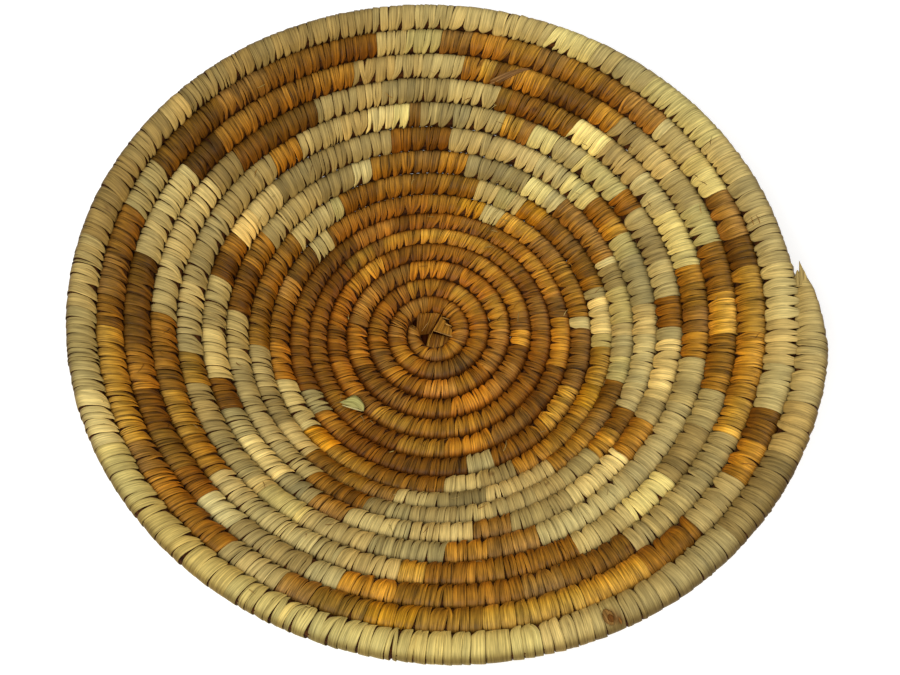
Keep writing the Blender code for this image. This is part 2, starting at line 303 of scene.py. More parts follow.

# How a stitch's colour changes from its inner end (0) over the top (0.5) to its outer end (1). On the wall,
# hands and light bleached the outer half; in the base the outer end lies deep and kept its dye. The tints
# also paint light: a sheen on the top and the outer half, and shade at both ends, where they turn into the
# grooves
WEAR_SHEEN_AND_SHADE = {
    "dyed": ((0, (0.88, 0.60, 0.42)), (0.22, (1.04, 0.90, 0.62)), (0.40, (1.01, 0.99, 0.62)),
             (0.50, (1.05, 1.14, 0.96)), (0.60, (1.08, 1.28, 1.62)), (0.80, (0.89, 1.04, 1.45)),
             (1, (0.78, 0.78, 1.00))),
    "dyed in the base": ((0, (0.84, 0.56, 0.32)), (0.22, (0.95, 0.76, 0.38)), (0.40, (1.03, 0.98, 0.64)),
                         (0.50, (1.06, 1.11, 1.05)), (0.60, (1.00, 1.03, 0.98)), (0.70, (0.78, 0.68, 0.55)),
                         (0.80, (0.64, 0.52, 0.42)), (1, (0.64, 0.50, 0.50))),
    "natural": ((0, (1.02, 0.90, 0.68)), (0.22, (1.14, 1.08, 0.95)), (0.40, (1.05, 1.02, 0.96)),
                (0.60, (1.06, 1.08, 1.12)), (0.80, (0.91, 0.92, 0.94)), (1, (0.84, 0.80, 0.74))),
}


def law_tables():
    """The centre line's radius, its height above the base's and its slope, at even steps along the coil."""
    turns = np.linspace(-1, LAW_TURNS, LAW_STEPS_PER_TURN * (LAW_TURNS + 1) + 1)
    pitch = np.interp(turns, PITCH_TURNS, (BASE_PITCH, BASE_PITCH, WALL_PITCH, RIM_PITCH))
    bend = np.clip((turns - FLAT_TURNS) * BEND_PER_TURN, 0, LOWER_SLOPE)
    bend_end = FLAT_TURNS + LOWER_SLOPE / BEND_PER_TURN
    up_wall = np.clip((turns - bend_end) / (FULL_TURNS - bend_end), 0, 1)
    slope = bend + (UPPER_SLOPE - LOWER_SLOPE) * up_wall
    step = turns[1] - turns[0]
    run = np.cumsum(pitch * np.cos(slope)) * step
    rise = np.cumsum(pitch * np.sin(slope)) * step
    start = np.interp(0, turns, run)
    return turns, START_RADIUS + run - start, rise, slope


TURN_TABLE, RADIUS_TABLE, RISE_TABLE, SLOPE_TABLE = law_tables()


def plan_angle(turn):
    """The angle round from +X, in radians, that the coil has reached at this turn."""
    return 2 * math.pi * turn + math.pi


def swell_share(turn, middle, reach):
    """A smooth swell of the coil: all of it at the middle turn, and none at the reach to either side."""
    away = np.minimum(np.abs(turn - middle) / reach, 1)
    return np.cos(away * math.pi / 2) ** 2


def centre_radius(turn):
    """Radius of the centre line, with the outline's shift and oval, which fade towards the middle."""
    radius = np.interp(turn, TURN_TABLE, RADIUS_TABLE)
    angle = plan_angle(turn)
    shift = RIM_SHIFT_X * np.cos(angle) + RIM_SHIFT_Y * np.sin(angle)
    oval = RIM_OVAL * np.cos(2 * (angle - OVAL_AXIS))
    towards_front = ((1 + np.cos(angle - FRONT_ANGLE)) / 2) ** FRONT_NARROWNESS
    swell = BASE_SWELL * swell_share(turn, BASE_SWELL_TURN, BASE_SWELL_REACH)
    swell = swell + FRONT_SWELL * swell_share(turn, FRONT_SWELL_TURN, FRONT_SWELL_REACH) * towards_front
    return radius + (shift + oval) * (radius / RIM_RADIUS) ** 2 + swell


def spacing(turn):
    """Distance between the centre lines of this turn and the next, at the same angle."""
    out = centre_radius(turn + 1) - centre_radius(turn)
    up = np.interp(turn + 1, TURN_TABLE, RISE_TABLE) - np.interp(turn, TURN_TABLE, RISE_TABLE)
    return np.hypot(out, up)


def full_half_width(turn):
    """Half of the room that the coil has between the turns beside it, less the gap."""
    return ((spacing(turn - 1) + spacing(turn)) / 2 - COIL_GAP) / 2


TAIL_END = FULL_TURNS + TAIL_LENGTH / (2 * math.pi * centre_radius(FULL_TURNS))
TIP_END = TAIL_END + TIP_LENGTH / (2 * math.pi * centre_radius(FULL_TURNS))
LAST_STITCH = (TAIL_END + TIP_END) / 2


def half_width(turn):
    """The coil's half width, with the thin start, the tail and its tip."""
    full = full_half_width(turn)
    blunt = np.sqrt(np.clip((turn + STRAIGHT_START) / BLUNT_END, 0, 1))
    start = START_HALF_WIDTH * blunt + (full - START_HALF_WIDTH) * np.clip(turn / START_TAPER_TURNS, 0, 1)
    tail_share = np.clip((turn - FULL_TURNS) / (TAIL_END - FULL_TURNS), 0, 1)
    tail = full + (TAIL_HALF_WIDTH - full) * tail_share
    tip_share = np.clip((turn - TAIL_END) / (TIP_END - TAIL_END), 0, 1)
    return np.where(turn < START_TAPER_TURNS, start, tail + (TIP_HALF_WIDTH - tail) * tip_share)


def coil_frame(turn):
    """Centre of the coil, the direction out across it, the direction up through it, and its half width."""
    angle = plan_angle(turn)
    slope = np.interp(turn, TURN_TABLE, SLOPE_TABLE)
    full = full_half_width(turn)
    half = half_width(turn)
    inwards = np.where(turn > FULL_TURNS, (full - half) * TAIL_LIES_IN, 0)
    radius = centre_radius(turn) - inwards * np.cos(slope)
    straight = START_RADIUS / np.cos(2 * math.pi * np.clip(turn, -STRAIGHT_START, 0))
    radius = np.where(turn < 0, straight, radius) + np.where(turn < START_TAPER_TURNS, START_LIES_OUT, 0) * (
        1 - np.clip(turn / START_TAPER_TURNS, 0, 1))
    height = SECTION_HEIGHT_SHARE * full + np.interp(turn, TURN_TABLE, RISE_TABLE) - inwards * np.sin(slope)
    height = np.where(turn < START_TAPER_TURNS, SECTION_HEIGHT_SHARE * half, height)
    centre = np.stack((radius * np.cos(angle), radius * np.sin(angle), height), -1) + SPIRAL_AXIS
    out = np.stack((np.cos(angle) * np.cos(slope), np.sin(angle) * np.cos(slope), np.sin(slope)), -1)
    up = np.stack((-np.cos(angle) * np.sin(slope), -np.sin(angle) * np.sin(slope), np.cos(slope)), -1)
    return centre, out, up, half


def body_mesh(name, points, faces, attributes, material):
    """A smooth piece from its points and faces, which rides on the basket's only body."""
    mesh = bpy.data.meshes.new(name)
    mesh.from_pydata(points.reshape(-1, 3).tolist(), [], faces)
    for label, values in attributes.items():
        vector = values.shape[-1] == 3
        layer = mesh.attributes.new(label, "FLOAT_VECTOR" if vector else "FLOAT", "POINT")
        layer.data.foreach_set("vector" if vector else "value", values.ravel())
    mesh.polygons.foreach_set("use_smooth", [True] * len(mesh.polygons))
    mesh.materials.append(material)
    mesh.update()
    piece = bpy.data.objects.new(name, mesh)
    bpy.context.scene.collection.objects.link(piece)
    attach(piece, "root")
    return piece


def chart_runs():
    """The chart as runs along the coil: first turn, last turn, colour."""
    starts = []
    for ring, line in CHART.items():
        for entry in line.split(", "):
            degrees, colour = entry.split()
            starts.append((ring - 0.5 + int(degrees) / 360, colour))
    ends = [start for start, _ in starts[1:]] + [TIP_END]
    return [(first, last, colour) for (first, colour), last in zip(starts, ends)]


def usual_band_width(turn):
    """How wide a stitch is at this turn, before chance."""
    even = np.interp(turn, BAND_WIDTH_TURNS, BAND_WIDTHS)
    towards_wide = (1 + np.cos(plan_angle(turn) - WIDEST_LEAF_ANGLE)) / 2
    on_rim = np.clip(turn - RIM_WIDTHS_FROM, 0, 1)
    return even * (1 + on_rim * (RIM_WIDTH_SWING * towards_wide - RIM_WIDTH_LOSS))


def split_shares(chance):
    """The widths of the parts that a stitch is split into, as shares of an unsplit stitch's."""
    parts = chance.choice((1, 2, 3), p=SPLIT_ODDS)
    whole = 1 + SPLIT_GAIN * (parts - 1)
    shares = chance.uniform(*SPLIT_PART_WIDTH, parts)
    return whole * shares / shares.sum()


def strand_stitches(turn, chance):
    """The stitches of one strand, which keep its width and tone: each has its width, pull, tone and split."""
    parts = []
    strand_width = usual_band_width(turn) * chance.uniform(*STRAND_WIDTH)
    strand_tone = chance.normal(0, 1, 3)
    for _ in range(chance.integers(*STITCHES_PER_STRAND)):
        stitch_width = strand_width * np.clip(chance.normal(1, STITCH_WIDTH_SPREAD), *STITCH_WIDTH_LIMITS)
        shares = split_shares(chance)
        middles = np.cumsum(shares) - shares / 2 - shares.sum() / 2
        split = len(shares) > 1
        tone = strand_tone + chance.normal(0, STITCH_TONE_SPREAD, 3)
        for share, middle in zip(shares, middles):
            part_tone = tone + chance.normal(0, PART_TONE_SPREAD, 3) * split
            parts.append((share * stitch_width, -middle * stitch_width, part_tone, split))
    return parts


def lay_stitches(chance):
    """Shares the coil out among stitches, strand by strand along each run of the chart."""
    rows = []
    for first, last, colour in chart_runs():
        length = (last - first) * 2 * math.pi * centre_radius((first + last) / 2)
        parts = []
        while sum(part[0] for part in parts) < length:
            parts += strand_stitches(first, chance)
        while len(parts) > 1 and sum(part[0] for part in parts[:-1]) > length:
            parts.pop()
        widths = np.array([part[0] for part in parts])
        ends = first + (last - first) * np.cumsum(widths) / widths.sum()
        starts = np.concatenate(((first,), ends[:-1]))
        for start, end, (_, pull, tone, split) in zip(starts, ends, parts):
            rows.append({"turn": (start + end) / 2, "width": end - start, "colour": colour,
                         "tone": tone, "pull": pull, "split": split})
    return rows


def each(values):
    """One value for each stitch, set out to spread over the corners of its band."""
    return values[:, None, None]


def narrowed(turn, split, beside_tail, from_inner, across, chance):
    """A band's width at each corner as a share of its full width, and how far along its tongue that is."""
    count = len(turn)
    tip = each(chance.uniform(*TIP_SHARE, count))
    starts = [each(chance.uniform(*degrees, count)) for degrees in (TAPER_AHEAD, TAPER_BEHIND)]
    powers = [each(chance.uniform(*TAPER_POWER, count)) for _ in range(2)]
    taper_start = np.where(across > 0, *starts)
    tongue = np.clip((taper_start - from_inner) / (taper_start - TIP_DEGREES), 0, 1)
    from_outer = 180 - from_inner
    heel_end = np.clip(1 - from_outer / each(chance.uniform(*HEEL_DEGREES, count)), 0, 1)
    heel = np.where(split, chance.uniform(*SPLIT_HEEL, count), chance.uniform(*WHOLE_HEEL, count))
    on_rim = np.clip((turn - RIM_HEEL_FROM) / RIM_HEEL_OVER, 0, 1)
    heel = each(heel + (1 - heel) * RIM_HEEL_FILLS * on_rim)
    tooth = each(beside_tail) * np.clip((TOOTH_DEGREES - from_outer) / TOOTH_OVER, 0, 1) ** TOOTH_POWER
    inner_loss = tongue ** np.where(across > 0, *powers) * (1 - tip)
    outer_loss = np.maximum(heel_end ** HEEL_POWER * (1 - heel), TOOTH_DEPTH * tooth)
    return 1 - inner_loss - outer_loss, tongue


def squarish(wave):
    """A sine or cosine round the coil's section, pushed out a little so that the section is squarer."""
    return np.sign(wave) * np.abs(wave) ** SQUARENESS


def groove_dirt_and_shade(turn, from_inner):
    """How much dirt and painted shade lie at each place round a stitch: none on its top, and most down in the
    grooves.
    """
    in_base = each(np.clip(BASE_DIRT_AND_SHADE_ENDS - turn, 0, 1))
    most, starts, over = (wall + (base - wall) * in_base
                          for wall, base in zip(OUTER_DIRT_AND_SHADE_ON_WALL, OUTER_DIRT_AND_SHADE_IN_BASE))
    outer = most * np.clip((starts - (180 - from_inner)) / over, 0, 1)
    most, starts, over = INNER_DIRT_AND_SHADE
    inner = most * np.clip((starts - from_inner) / over, 0, 1)
    return np.maximum(inner, outer) ** DIRT_AND_SHADE_POWER


def band_places(turn, width, pull, split, beside_tail, from_inner, chance):
    """Where along the coil each corner of a band lies, in turns, and half the band's width.

    A band leans as it goes round the coil, and narrows to a tongue on the inner side.
    """
    count = len(turn)
    across = ACROSS[None, None, :]
    share, tongue = narrowed(turn, split, beside_tail, from_inner, across, chance)
    half_gap = each(chance.uniform(*HALF_GAP, count) + WIDE_GAP * (chance.random(count) < WIDE_GAP_ODDS)) * MM
    half_band = each(width) / 2 - half_gap
    from_straightest = np.abs(np.sin((plan_angle(turn) - STRAIGHTEST_ANGLE) / 2))
    leaning = LEAST_LEAN + (MOST_LEAN - LEAST_LEAN) * from_straightest
    slant = each(leaning + chance.normal(0, LEAN_SPREAD, count) * MM)
    tongue_lean = TONGUE_LEAN_SHARE * leaning + chance.normal(TONGUE_LEAN, TONGUE_LEAN_SPREAD, count) * MM
    near_hole = np.clip((PULL_DEGREES - from_inner) / PULL_OVER, 0, 1)
    together = each(pull * chance.uniform(*PULL_SHARE, count)) * near_hole
    leaned = each(tongue_lean) * tongue - slant * np.cos(AROUND[None, :, None])
    along = across * half_band * share + leaned + together
    return each(turn) + along / (2 * math.pi * centre_radius(each(turn))), half_band


def band_points(turn, place, beside_tail, from_inner, chance):
    """The corners of every band, and the coil's half width there.

    They lie on the coil's skin. A tongue leaves it to cross the groove and enter the turn inside.
    """
    count = len(turn)
    around = AROUND[None, :, None]
    centre, out, up, half = coil_frame(place)
    lift = each(chance.normal(0, LIFT_SPREAD, count)) * MM
    lap = each(chance.normal(LAP, LAP_SPREAD, count)) * MM
    bow = each(chance.uniform(*BOW, count))
    rise = LEAF_BULGE + lift + lap * ACROSS[None, None, :] - bow * LEAF_PROFILE[None, None, :]
    reaching = np.interp(from_inner, TONGUE_DEGREES, TONGUE_SHARE)
    longest = half * np.clip(each(turn) - TONGUES_FROM, 0, 1)
    reach = reaching * longest * each(chance.uniform(*TONGUE_CHANCE, count))
    tooth = np.interp(180 - from_inner, TONGUE_DEGREES, TONGUE_SHARE)
    reach = reach + tooth * half * TOOTH_REACH * each(beside_tail)
    thinner_tail = np.clip((full_half_width(place) - half) * (place > FULL_TURNS), 0, None)
    reach = reach + reaching / max(TONGUE_SHARE) * thinner_tail * TAIL_TONGUE_REACH
    sideways = squarish(np.cos(around)) * (half + rise + reach)
    upwards = squarish(np.sin(around)) * (SECTION_HEIGHT_SHARE * half + rise - LEAF_BULGE)
    return centre + sideways[..., None] * out + upwards[..., None] * up, half


def wind_bands(turn, width, pull, split, chance):
    """Winds every stitch round the coil as a closed band.

    Gives its corners, and at each of them the place in the leaf's pattern in mm, the dirt and painted shade
    of the grooves, the cut edge with the painted shade of the seams, and how far it is from the inner end of
    the stitch (0) to its outer end (1).
    """
    count = len(turn)
    around, across = AROUND[None, :, None], ACROSS[None, None, :]
    from_inner = np.degrees(np.abs(around - math.pi))
    beside_tail = swell_share(turn, TEETH_TURN, TEETH_REACH)
    place, half_band = band_places(turn, width, pull, split, beside_tail, from_inner, chance)
    points, half = band_points(turn, place, beside_tail, from_inner, chance)
    shape = points.shape[:3]
    in_leaf = each(chance.uniform(0, STRANDS_APART, count))
    strand = (across * half_band / MM + in_leaf, np.cos(around) * half / MM + in_leaf,
              np.sin(around) * half / MM)
    strand = np.stack([np.broadcast_to(part, shape) for part in strand], -1)
    # The cut edges are darkened at random, which also paints the shade in the seams between stitches
    left_edge, right_edge = each(chance.uniform(*CUT_EDGE_AND_SEAM_SHADE, count)), each(chance.uniform(*CUT_EDGE_AND_SEAM_SHADE, count))
    edge = np.where(across == ACROSS[0], left_edge, np.where(across == ACROSS[-1], right_edge, 0.0))
    return [points, strand] + [np.broadcast_to(part, shape) for part in (
        groove_dirt_and_shade(turn, from_inner), edge, from_inner / 180)]


def band_faces(count):
    """Faces of closed bands: round the coil, across the band, and back under it."""
    wide = len(ACROSS)
    long = len(AROUND)
    band, ring, step = np.meshgrid(np.arange(count), np.arange(long), np.arange(wide), indexing="ij")
    next_ring, next_step = (ring + 1) % long, (step + 1) % wide

    def index(row, column):
        return ((band * long + row) * wide + column).ravel()

    return np.stack((index(ring, step), index(ring, next_step), index(next_ring, next_step),
                     index(next_ring, step)), -1).tolist()


def add(tree, kind, inputs=None, **settings):
    """Adds a node. An input takes a plain value, or the output of another node, which is linked to it."""
    node = tree.nodes.new(kind)
    for name, value in settings.items():
        setattr(node, name, value)
    for name, value in (inputs or {}).items():
        if isinstance(value, bpy.types.NodeSocket):
            tree.links.new(value, node.inputs[name])
        else:
            node.inputs[name].default_value = value
    return node


# Across a strand of palm leaf the fibres stand 0.5 mm apart, twice as coarse as real ones, so that they
# show, and each runs on for 14 mm. Dye and sun leave cloudier marks, 3 mm wide and 6 mm long
FIBRES_PER_MM = (2.0, 0.07, 0.07)
BLOTCHES_PER_MM = (0.35, 0.16, 0.16)
# How much fine detail each noise has, and how strongly the fine detail shows
FIBRE_DETAIL = (3.0, 0.75)
BLOTCH_DETAIL = (2.0, 0.5)
# Nearly all of the noise lies between these values
NOISE_LOW = 0.3
NOISE_HIGH = 0.7
FIBRE_LIGHTER_SHARE = 0.6
FIBRE_RELIEF = 0.12 * MM
FIBRE_RELIEF_STRENGTH = 0.5
LEAF_IOR = 1.45
# The leaf's wax gives a faint gloss, which is taken away in the grooves, where the dirt and painted shade lie
LEAF_GLOSS = 0.1
GROOVE_GLOSS = 0.01
GROOVE_DIRT_AND_SHADE_SHARE = 0.8
# The cut edges' brown also paints the shade in the seams between stitches
CUT_EDGE_AND_SEAM_SHADE_SHARE = 0.92
CUT_EDGE_AND_SEAM_SHADE_BROWN = linear("#301706")


def leaf_marks(tree, strand, per_mm, detail, darkest, lightest):
    """Marks that follow the strand: their noise, and how light each makes the leaf."""
    stretched = add(tree, "ShaderNodeVectorMath", {0: strand, 1: per_mm}, operation="MULTIPLY")
    noise = add(tree, "ShaderNodeTexNoise", {"Vector": stretched.outputs[0], "Scale": 1.0,
                                             "Detail": detail[0], "Roughness": detail[1]}).outputs["Fac"]
    tone = add(tree, "ShaderNodeMapRange", {"Value": noise, "From Min": NOISE_LOW, "From Max": NOISE_HIGH,
                                            "To Min": darkest, "To Max": lightest})
    return noise, tone.outputs[0]


def palm_leaf(name, roughness, fibre_contrast, blotch_contrast, dirt_and_shade_colour):
    """Split palm leaf, stripped and dried. Its fibres run along the strand, and its wax gives a dull gloss.

    Dust and old dye lie in the grooves between stitches, and the cut edges of a strand are dark. Both marks
    also paint the shade that falls in the grooves and in the seams between stitches.
    """
    material = bpy.data.materials.new(name)
    material.use_nodes = True
    tree = material.node_tree
    shader = tree.nodes["Principled BSDF"]
    shader.inputs["Roughness"].default_value = roughness
    shader.inputs["IOR"].default_value = LEAF_IOR
    colour = add(tree, "ShaderNodeAttribute", attribute_name="strand_colour").outputs["Vector"]
    strand = add(tree, "ShaderNodeAttribute", attribute_name="strand_mm").outputs["Vector"]
    groove = add(tree, "ShaderNodeAttribute", attribute_name="groove").outputs["Fac"]
    cut_edge_and_seam_shade = add(tree, "ShaderNodeAttribute", attribute_name="band_edge").outputs["Fac"]
    fibres, fibre_tone = leaf_marks(tree, strand, FIBRES_PER_MM, FIBRE_DETAIL, 1 - fibre_contrast,
                                    1 + fibre_contrast * FIBRE_LIGHTER_SHARE)
    _, blotch_tone = leaf_marks(tree, strand, BLOTCHES_PER_MM, BLOTCH_DETAIL, 1 - blotch_contrast,
                                1 + blotch_contrast)
    tone = add(tree, "ShaderNodeMath", {0: fibre_tone, 1: blotch_tone}, operation="MULTIPLY")
    toned = add(tree, "ShaderNodeVectorMath", {0: colour, "Scale": tone.outputs[0]}, operation="SCALE")
    leaf = toned.outputs[0]
    for where, share, brown in ((groove, GROOVE_DIRT_AND_SHADE_SHARE, linear(dirt_and_shade_colour)),
                                (cut_edge_and_seam_shade, CUT_EDGE_AND_SEAM_SHADE_SHARE, CUT_EDGE_AND_SEAM_SHADE_BROWN)):
        cover = add(tree, "ShaderNodeMath", {0: where, 1: share}, operation="MULTIPLY").outputs[0]
        leaf = add(tree, "ShaderNodeMix", {"Factor": cover, "A": leaf, "B": (*brown, 1.0)},
                   data_type="RGBA").outputs["Result"]
    tree.links.new(leaf, shader.inputs["Base Color"])
    shader.inputs["Specular IOR Level"].default_value = LEAF_GLOSS
    gloss = add(tree, "ShaderNodeMapRange", {"Value": groove, "To Min": LEAF_GLOSS, "To Max": GROOVE_GLOSS})
    tree.links.new(gloss.outputs[0], shader.inputs["Specular IOR Level"])
    bump = add(tree, "ShaderNodeBump", {"Height": fibres, "Strength": FIBRE_RELIEF_STRENGTH,
                                        "Distance": FIBRE_RELIEF})
    tree.links.new(bump.outputs[0], shader.inputs["Normal"])
    return material


def grass_stalks():
    """The bundle's dry grass: thin dull stalks side by side, browned by the dye, and drawn near black to
    paint the shade in the slits where it shows.
    """
    material = bpy.data.materials.new("dry_grass_bundle_with_painted_shade")
    material.use_nodes = True
    tree = material.node_tree
    shader = tree.nodes["Principled BSDF"]
    shader.inputs["Roughness"].default_value = 0.8
    shader.inputs["Specular IOR Level"].default_value = LEAF_GLOSS
    strand = add(tree, "ShaderNodeAttribute", attribute_name="strand_mm").outputs["Vector"]
    stalks = add(tree, "ShaderNodeTexNoise", {"Vector": strand, "Scale": 1.0, "Detail": 2.0})
    ramp = add(tree, "ShaderNodeValToRGB", {"Fac": stalks.outputs["Fac"]})
    # Near-black browns that give the grass its colour and paint the shade in the slits between stitches
    for stop, noise, brown in zip(ramp.color_ramp.elements, (0.35, 0.7), ("#220f04", "#56300f")):
        stop.position, stop.color = noise, (*linear(brown), 1)
    tree.links.new(ramp.outputs["Color"], shader.inputs["Base Color"])
    return material


# The bundle as it lies inside the leaf. Its stalks' noise runs along them, and on a circle round them
GRASS_STATIONS = 1500
STALKS_AROUND = 24
STALK_RIDGE = 0.12 * MM
GRASS_STARTS = 0.02 - STRAIGHT_START
GRASS_WIDER = 0.2 * MM
GRASS_FURTHER_IN = 0.15 * MM
GRASS_LOWER = 0.5 * MM
STALK_STRETCH = 0.1
STALK_CIRCLE = 3


def grass_bundle(material):
    """The core: one unbroken bundle of stalks through every stitch, from the eye to the tail."""
    turns = np.linspace(GRASS_STARTS, LAST_STITCH, GRASS_STATIONS)[:, None]
    around = np.linspace(0, 2 * math.pi, STALKS_AROUND, endpoint=False)[None, :]
    centre, out, up, half = coil_frame(turns + 0 * around)
    ridge = STALK_RIDGE * np.where(np.arange(STALKS_AROUND) % 2, 1, -1)[None, :]
    sideways = (half + GRASS_WIDER + ridge) * np.cos(around) - GRASS_FURTHER_IN
    upwards = (SECTION_HEIGHT_SHARE * half - GRASS_LOWER + ridge) * np.sin(around)
    points = centre + sideways[..., None] * out + upwards[..., None] * up
    row, column = np.meshgrid(np.arange(GRASS_STATIONS - 1), np.arange(STALKS_AROUND), indexing="ij")
    after = (column + 1) % STALKS_AROUND
    corners = ((row, column), (row, after), (row + 1, after), (row + 1, column))
    faces = np.stack([(at_row * STALKS_AROUND + at_column).ravel() for at_row, at_column in corners], -1)
    start_cap = list(range(STALKS_AROUND))[::-1]
    end_cap = list(range((GRASS_STATIONS - 1) * STALKS_AROUND, GRASS_STATIONS * STALKS_AROUND))
    length = turns * 2 * math.pi * centre_radius(turns) / MM
    strand = np.stack(np.broadcast_arrays(STALK_STRETCH * length, STALK_CIRCLE * np.cos(around),
                                          STALK_CIRCLE * np.sin(around)), -1)
    piece = body_mesh("grass_bundle", points, faces.tolist() + [start_cap, end_cap],
                      {"strand_mm": strand}, material)
    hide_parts("grass_core")


# Where one CAD sleeve ends and the next begins, as in the part's source
BASE_CUTS = {1: (198,), 2: (198,), 3: (198,), 4: (198,), 5: (198,), 6: (3, 215, 293)}
PATTERN_CUTS = {
    7: (2, 68, 142, 217, 294),
    8: (12, 77, 142, 227, 303),
    9: (19, 77, 147, 232, 313),
    10: (23, 83, 154, 238, 318),
    11: (26, 124, 189, 272, 347),
    12: (52, 116, 182, 262, 338),
    13: (43, 107, 168, 252, 332),
    14: (38, 99, 160, 243, 323),
}
RIM_CUTS = {15: (-12, 71, 155, 230, 310)}


def sleeves():
    """Every CAD sleeve's name with its first and last turn."""
    starts = [("wrap_start", -STRAIGHT_START)]
    for kind, cuts in (("base", BASE_CUTS), ("ring", PATTERN_CUTS), ("rim", RIM_CUTS)):
        for ring, angles in cuts.items():
            for place, degrees in enumerate(angles, 1):
                starts.append((f"wrap_{kind}_{ring:02d}_{place}", ring - 0.5 + degrees / 360))
    ends = [start for _, start in starts[1:]] + [LAST_STITCH]
    return [(name, first, last) for (name, first), last in zip(starts, ends)]


def stitch_colours(names, tones, turn):
    """Each stitch's leaf colour, with the tone of its strand: lighter or darker, and warmer or cooler."""
    spread = np.where(turn > RIM_START, RIM_TONE_SPREAD, TONE_SPREAD)
    warmth = tones[:, 1]
    tint = np.exp(np.stack((RED_SPREAD * warmth, 0 * warmth, -BLUE_SPREAD * warmth), -1))
    return np.array([LEAF_COLOURS[name] for name in names]) * np.exp(spread * tones[:, 0])[:, None] * tint


def wear_sheen_and_shade_tint(way_out, tint_table):
    """The tint of wear and painted light at each place, between its inner end (0) and its outer end (1)."""
    shares = [share for share, _ in tint_table]
    tints = np.array([tint for _, tint in tint_table])
    return np.stack([np.interp(way_out, shares, tints[:, channel]) for channel in range(3)], -1)


def worn_and_lit_colours(colours, way_out, finish, turn):
    """Hands and light bleach the top of each stitch, and leave its sheltered inner end deep and warm. The
    tint also paints a sheen on the top and shade at the ends.
    """
    tint = wear_sheen_and_shade_tint(way_out, WEAR_SHEEN_AND_SHADE[finish])
    if finish == "dyed":
        in_base = each(np.clip(BASE_WEAR_ENDS - turn, 0, 1))[..., None]
        tint = tint + in_base * (wear_sheen_and_shade_tint(way_out, WEAR_SHEEN_AND_SHADE["dyed in the base"]) - tint)
    # Each turn's colour is made a little paler or darker, by the table above
    turn_tone = each(np.interp(turn, TONE_BY_TURN_AT, TONE_BY_TURN))[..., None]
    return colours[:, None, None, :] * tint * turn_tone


def stained(colours, points):
    """Gum that soaked into the leaf, each spot at its place on the coil."""
    for ring, degrees, around, size, strength in GUM_STAINS:
        place, _ = on_coil(ring, degrees, around)
        away = np.linalg.norm(points - place, axis=-1) / (size * MM)
        share = strength * np.exp(-away ** GUM_SHARPNESS)[..., None]
        colours = colours * (1 - share) + GUM_BROWN * share
    return colours


def dress_sleeves(leaf):
    """Winds the stitches over each CAD sleeve: its dyed strands in one piece, its natural ones in another."""
    chance = np.random.default_rng(SEED)
    rows = [row for row in lay_stitches(chance) if row["turn"] < LAST_STITCH]
    turn, width, pull, split, tones = (np.array([row[label] for row in rows])
                                       for label in ("turn", "width", "pull", "split", "tone"))
    names = [row["colour"] for row in rows]
    colours = stitch_colours(names, tones, turn)
    dyed = np.array([name in DYED_LEAF for name in names])
    width = width * 2 * math.pi * centre_radius(turn)
    # The groove mark is dust and dye in the grooves, together with painted shade there
    points, strand, dirt_and_shade, edge, way_out = wind_bands(turn, width, pull, split, chance)
    for sleeve, first, last in sleeves():
        inside = (turn >= first) & (turn < last)
        for finish, chosen in (("dyed", inside & dyed), ("natural", inside & ~dyed)):
            if not chosen.any():
                continue
            # Each stitch's colour with its wear, and with the painted sheen and shade along it
            worn_and_lit = worn_and_lit_colours(colours[chosen], way_out[chosen], finish, turn[chosen])
            marks = {"strand_colour": stained(worn_and_lit, points[chosen]), "strand_mm": strand[chosen],
                     "groove": dirt_and_shade[chosen], "band_edge": edge[chosen]}
            piece = body_mesh(f"{sleeve}_{finish}", points[chosen], band_faces(int(chosen.sum())), marks,
                              leaf[finish])
            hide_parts(sleeve)


def on_coil(ring, degrees, around, lift=0.0):
    """A place on the coil's skin, and the direction straight out of it. Around is 0 outside and 90 on top."""
    centre, out, up, half = coil_frame(np.array(ring - 0.5 + degrees / 360))
    side = np.cos(np.radians(around))
    top = np.sin(np.radians(around))
    skin = half + LEAF_BULGE + lift
    place = centre + out * side * skin + up * top * (SECTION_HEIGHT_SHARE * half + lift)
    return place, out * side + up * top


def strip_points(course, half_widths, thickness):
    """A thin leaf strip along a course of places, each with the direction that the strip's face looks in."""
    steps = np.linspace(0, len(course) - 1, STRIP_STEPS)
    places, faces_to = (np.stack([np.interp(steps, np.arange(len(course)), values[:, axis])
                                  for axis in range(3)], -1)
                        for values in (np.array([row[part] for row in course], float) for part in (0, 1)))
    # Rounds off the corners of the course
    for _ in range(min(3, len(course) - 1)):
        places[1:-1] = (places[:-2] + 2 * places[1:-1] + places[2:]) / 4
    ahead = np.gradient(places, axis=0)
    ahead /= np.linalg.norm(ahead, axis=1)[:, None]
    side = np.cross(ahead, faces_to)
    side /= np.linalg.norm(side, axis=1)[:, None]
    face = np.cross(side, ahead)
    wide = np.interp(steps, np.linspace(0, len(course) - 1, len(half_widths)), half_widths)[:, None]
    across = STRIP_ACROSS * wide
    height = (STRIP_HEIGHT * thickness)[:, None]
    points = places[:, None] + side[:, None] * across[..., None] + face[:, None] * height
    length = np.concatenate(([0], np.cumsum(np.linalg.norm(np.diff(places, axis=0), axis=1))))
    strand = np.stack(np.broadcast_arrays(across / MM, length[:, None] / MM, 0.0), -1)
    return points, strand


